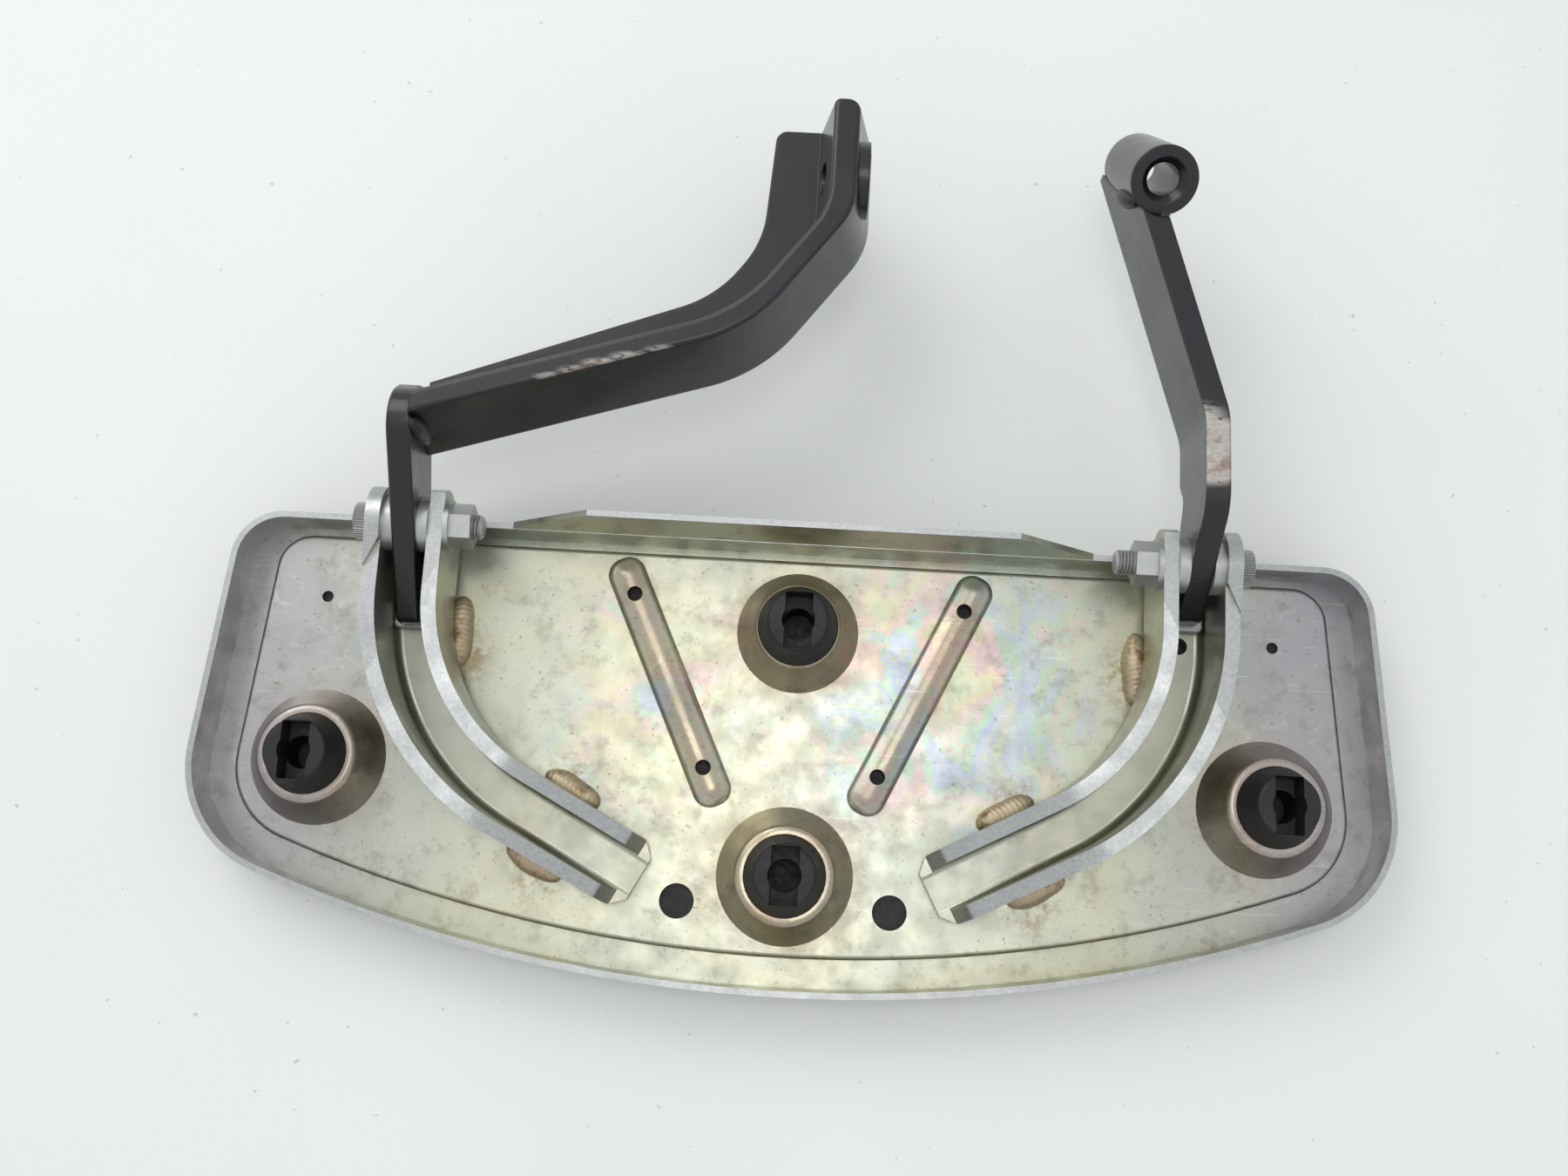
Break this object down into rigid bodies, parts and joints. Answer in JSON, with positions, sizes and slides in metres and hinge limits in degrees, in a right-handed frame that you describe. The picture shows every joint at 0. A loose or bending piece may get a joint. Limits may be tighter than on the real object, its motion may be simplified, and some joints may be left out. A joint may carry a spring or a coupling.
{
  "type": "motorcycle rider footboard",
  "caption": "D-shaped steel motorcycle footboard, shown underside up, with a rubber pad and two bolted frame arms that fold the board on a shared hinge line.",
  "frame": {"origin": "middle of the whole part's bounding box in plan, on the tread plane it rests on", "axes": "+X along the board's length, to the right as seen with the straight inboard edge away from the viewer; +Y across the board from its curved outboard edge to the frame arms; +Z out of the underside, so the tread faces -Z"},
  "size_m": [0.3926, 0.2908, 0.0715],
  "materials": {
    "chromate_steel": "satin",
    "plated_steel": "satin",
    "weld_metal": "rough",
    "black_enamel": "gloss",
    "black_rubber": "matte"
  },
  "bodies": {
    "board": {"pan": "chromate_steel", "rubber_pad": "black_rubber", "left_channel": "chromate_steel", "right_channel": "chromate_steel", "left_channel_welds": "weld_metal", "right_channel_welds": "weld_metal", "left_stop_pad": "plated_steel", "right_stop_pad": "plated_steel", "left_pivot_bolt": "plated_steel", "right_pivot_bolt": "plated_steel", "left_pivot_nut": "plated_steel", "right_pivot_nut": "plated_steel", "left_thrust_washers": "plated_steel", "right_thrust_washers": "plated_steel"},
    "left_arm": {"left_arm_tang": "black_enamel", "left_arm_strap": "black_enamel", "left_arm_weld": "black_enamel"},
    "right_arm": {"right_arm_bar": "black_enamel", "right_arm_tube": "black_enamel", "right_arm_weld": "black_enamel"}
  },
  "joints": [
    {"name": "left_arm_fold", "type": "hinge", "parent": "board", "child": "left_arm", "pos_m": [-0.1275, -0.00242, 0.0375], "axis": [1, 0, 0], "range_deg": [-40, 0]},
    {"name": "right_arm_fold", "type": "hinge", "parent": "board", "child": "right_arm", "pos_m": [0.1275, -0.00242, 0.0375], "axis": [1, 0, 0], "range_deg": [-40, 0]}
  ]
}
